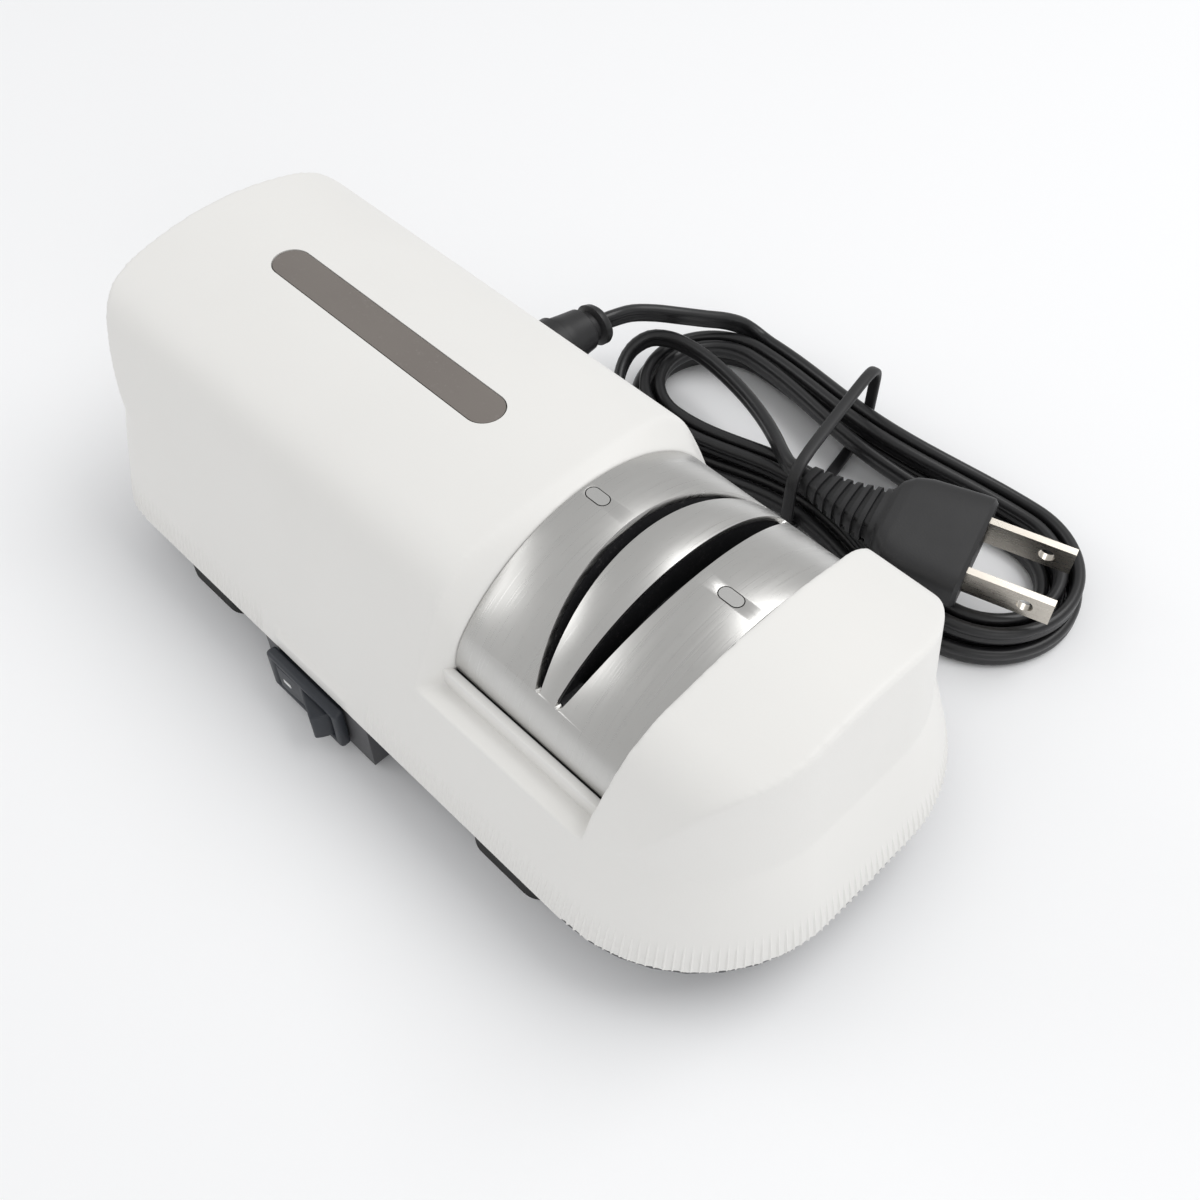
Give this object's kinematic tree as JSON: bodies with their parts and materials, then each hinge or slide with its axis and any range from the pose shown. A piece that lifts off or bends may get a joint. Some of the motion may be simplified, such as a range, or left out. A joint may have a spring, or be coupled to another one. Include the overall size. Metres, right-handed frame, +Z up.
{
  "type": "electric knife sharpener",
  "caption": "Arched white countertop knife sharpener with a steel-clad slotted bay, a rocker switch, an inner motor and wheel, and a folded mains cord.",
  "frame": {"origin": "on the table, under the middle of the object's box without its cord", "axes": "+X towards the sharpening end, -Y towards the side with the switch, +Y the side with the cord, +Z up"},
  "size_m": [0.17, 0.1392, 0.0573],
  "materials": {
    "white_shell": "warm white moulded plastic, fine satin, slightly textured at the base",
    "dark_base": "dark grey moulded plastic",
    "black_guide": "black moulded plastic with a little grinding dust",
    "switch_black": "blue black moulded plastic, satin",
    "rubber_foot": "soft black rubber",
    "cover_steel": "stainless sheet, brushed round the arch",
    "strip_metal": "satin warm grey strip",
    "inner_steel": "plain machined or pressed steel",
    "bronze": "sintered bronze",
    "wheel_grit": "dark bonded abrasive with bright grains",
    "board_green": "circuit board",
    "cord_black": "black flexible cord sheath, satin",
    "blade_nickel": "nickel plated blades, lightly scuffed"
  },
  "bodies": {
    "root": {"upper_housing": "white_shell", "lower_housing": "dark_base", "rear_bracket": "dark_base", "front_bracket": "dark_base", "motor_saddle": "dark_base", "slot_guide": "black_guide", "switch_body": "switch_black", "feet": "rubber_foot", "steel_cover": "cover_steel", "cover_tabs": "cover_steel", "top_strip": "strip_metal", "bracket_screws": "inner_steel", "motor_can": "inner_steel", "motor_mount": "inner_steel", "motor_strap": "inner_steel", "housing_screws": "inner_steel", "bearing_bushes": "bronze", "motor_terminals": "bronze", "switch_terminals": "bronze", "rectifier_board": "board_green", "board_parts": "board_green", "motor_end_bell": "cord_black", "cord_gland": "cord_black", "gland_nut": "cord_black", "strain_relief": "cord_black", "cord_lead": "cord_black", "cord_hank": "cord_black", "cord_tail": "cord_black", "cord_tie": "cord_black", "plug_body": "cord_black", "plug_blades": "blade_nickel"},
    "spindle": {"grinding_wheel": "wheel_grit", "wheel_flanges": "inner_steel", "spindle_shaft": "inner_steel", "shaft_clips": "inner_steel", "shaft_coupling": "inner_steel", "motor_shaft": "inner_steel"},
    "rocker": {"switch_rocker": "switch_black"}
  },
  "joints": [
    {"name": "spindle", "type": "hinge", "parent": "root", "child": "spindle", "pos_m": [0, 0, 0.0265], "axis": [1, 0, 0], "continuous": true},
    {"name": "rocker", "type": "hinge", "parent": "root", "child": "rocker", "pos_m": [-0.0125, -0.0406, 0.00765], "axis": [0, 0, 1], "range_deg": [0, 22]}
  ]
}
